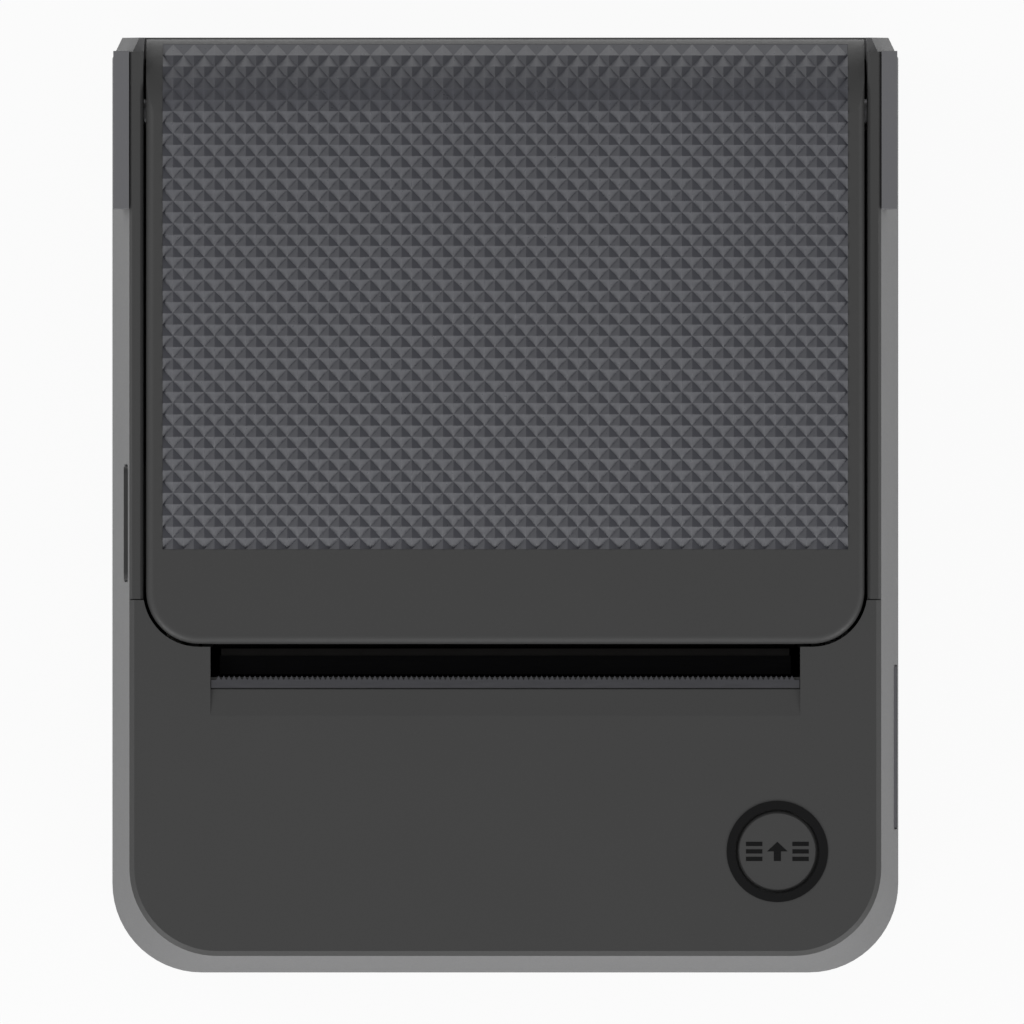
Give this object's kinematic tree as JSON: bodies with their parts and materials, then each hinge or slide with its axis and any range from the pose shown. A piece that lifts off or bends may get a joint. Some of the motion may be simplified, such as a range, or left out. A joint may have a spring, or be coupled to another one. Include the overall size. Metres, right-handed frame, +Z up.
{
  "type": "thermal receipt printer",
  "caption": "Compact desktop receipt printer with a faceted roll-top lid, toothed paper slot, round feed button, side release button and geared platen",
  "frame": {"origin": "Centre of the base of the overall box, on the plane that the rubber feet rest on.", "axes": "+X to the right seen from the front, +Y to the rear where the lid is hinged, +Z up. The front with the feed button faces -Y."},
  "size_m": [0.1108, 0.1318, 0.064],
  "materials": {
    "case_grey": "matte",
    "dark_grey": "matte",
    "cheek_grey": "matte",
    "insert_blue_grey": "satin",
    "black_plastic": "matte",
    "white_plastic": "matte",
    "black_rubber": "matte",
    "steel": "satin",
    "black_head": "satin anodised",
    "ceramic_glaze": "gloss",
    "board_green": "satin"
  },
  "bodies": {
    "housing": {"bottom_cover": "dark_grey", "rubber_feet": "black_rubber", "case_body": "case_grey", "top_rails": "dark_grey", "hinge_covers": "cheek_grey", "hinge_pins": "steel", "front_panel": "dark_grey", "tear_bar": "steel", "roll_bin": "black_plastic", "mechanism_frame": "black_plastic", "head_rod": "steel", "stepper_motor": "steel", "idler_post": "steel", "latch_pin": "steel", "button_ring": "black_plastic", "button_board": "board_green", "tact_switch": "black_plastic", "main_board": "board_green", "board_chips": "black_plastic", "capacitors": "black_plastic", "board_connectors": "white_plastic", "usb_socket": "steel", "dc_jack": "black_plastic", "case_screws": "steel", "board_screws": "steel", "frame_screws": "steel", "head_springs": "steel", "latch_spring": "steel", "feed_spring": "steel"},
    "lid": {"lid_shell": "dark_grey", "lid_insert": "insert_blue_grey", "platen_holder": "black_plastic", "platen_bearings": "white_plastic"},
    "platen": {"platen_shaft": "steel", "platen_rubber": "black_rubber", "platen_gear": "white_plastic", "platen_clip": "steel"},
    "idler": {"idler_gear": "white_plastic"},
    "motor_rotor": {"motor_shaft": "steel", "motor_pinion": "white_plastic"},
    "print_head": {"head_plate": "black_head", "head_ceramic": "ceramic_glaze"},
    "release": {"release_button": "dark_grey"},
    "latch": {"latch_lever": "black_plastic"},
    "feed": {"feed_button": "dark_grey"},
    "port_flap": {"port_cover": "black_rubber"}
  },
  "joints": [
    {"name": "lid_hinge", "type": "hinge", "parent": "housing", "child": "lid", "pos_m": [0, 0.055, 0.0535], "axis": [-1, 0, 0], "range_deg": [0, 82]},
    {"name": "platen_spin", "type": "hinge", "parent": "lid", "child": "platen", "pos_m": [0, -0.015, 0.055], "axis": [1, 0, 0], "continuous": true},
    {"name": "idler_spin", "type": "hinge", "parent": "housing", "child": "idler", "pos_m": [-0.04625, -0.015, 0.04045], "axis": [1, 0, 0], "continuous": true},
    {"name": "motor_spin", "type": "hinge", "parent": "housing", "child": "motor_rotor", "pos_m": [-0.04625, -0.02652, 0.0338], "axis": [1, 0, 0], "continuous": true},
    {"name": "head_tilt", "type": "hinge", "parent": "housing", "child": "print_head", "pos_m": [0, -0.0224, 0.0472], "axis": [1, 0, 0], "range_deg": [0, 2], "stiffness_Nm_per_rad": 0.4, "deforming": ["head_springs"]},
    {"name": "release_press", "type": "slide", "parent": "housing", "child": "release", "axis": [1, 0, 0], "range_m": [0, 0.0015], "stiffness_N_per_m": 100},
    {"name": "latch_turn", "type": "hinge", "parent": "housing", "child": "latch", "pos_m": [-0.0465, 0.0063, 0.044], "axis": [0, 1, 0], "range_deg": [0, 12], "deforming": ["latch_spring"]},
    {"name": "feed_press", "type": "slide", "parent": "housing", "child": "feed", "axis": [0, 0, -1], "range_m": [0, 0.0005], "stiffness_N_per_m": 200, "deforming": ["feed_spring"]},
    {"name": "port_cover_hinge", "type": "hinge", "parent": "housing", "child": "port_flap", "pos_m": [0.05455, -0.0341, 0.01765], "axis": [0, 1, 0], "range_deg": [0, 95]}
  ],
  "couplings": [
    {"joint": "idler_spin", "follows": "platen_spin", "ratio": -0.38095},
    {"joint": "motor_spin", "follows": "platen_spin", "ratio": 1.4545},
    {"joint": "latch_turn", "follows": "release_press", "rad_per_m": 139.63}
  ]
}
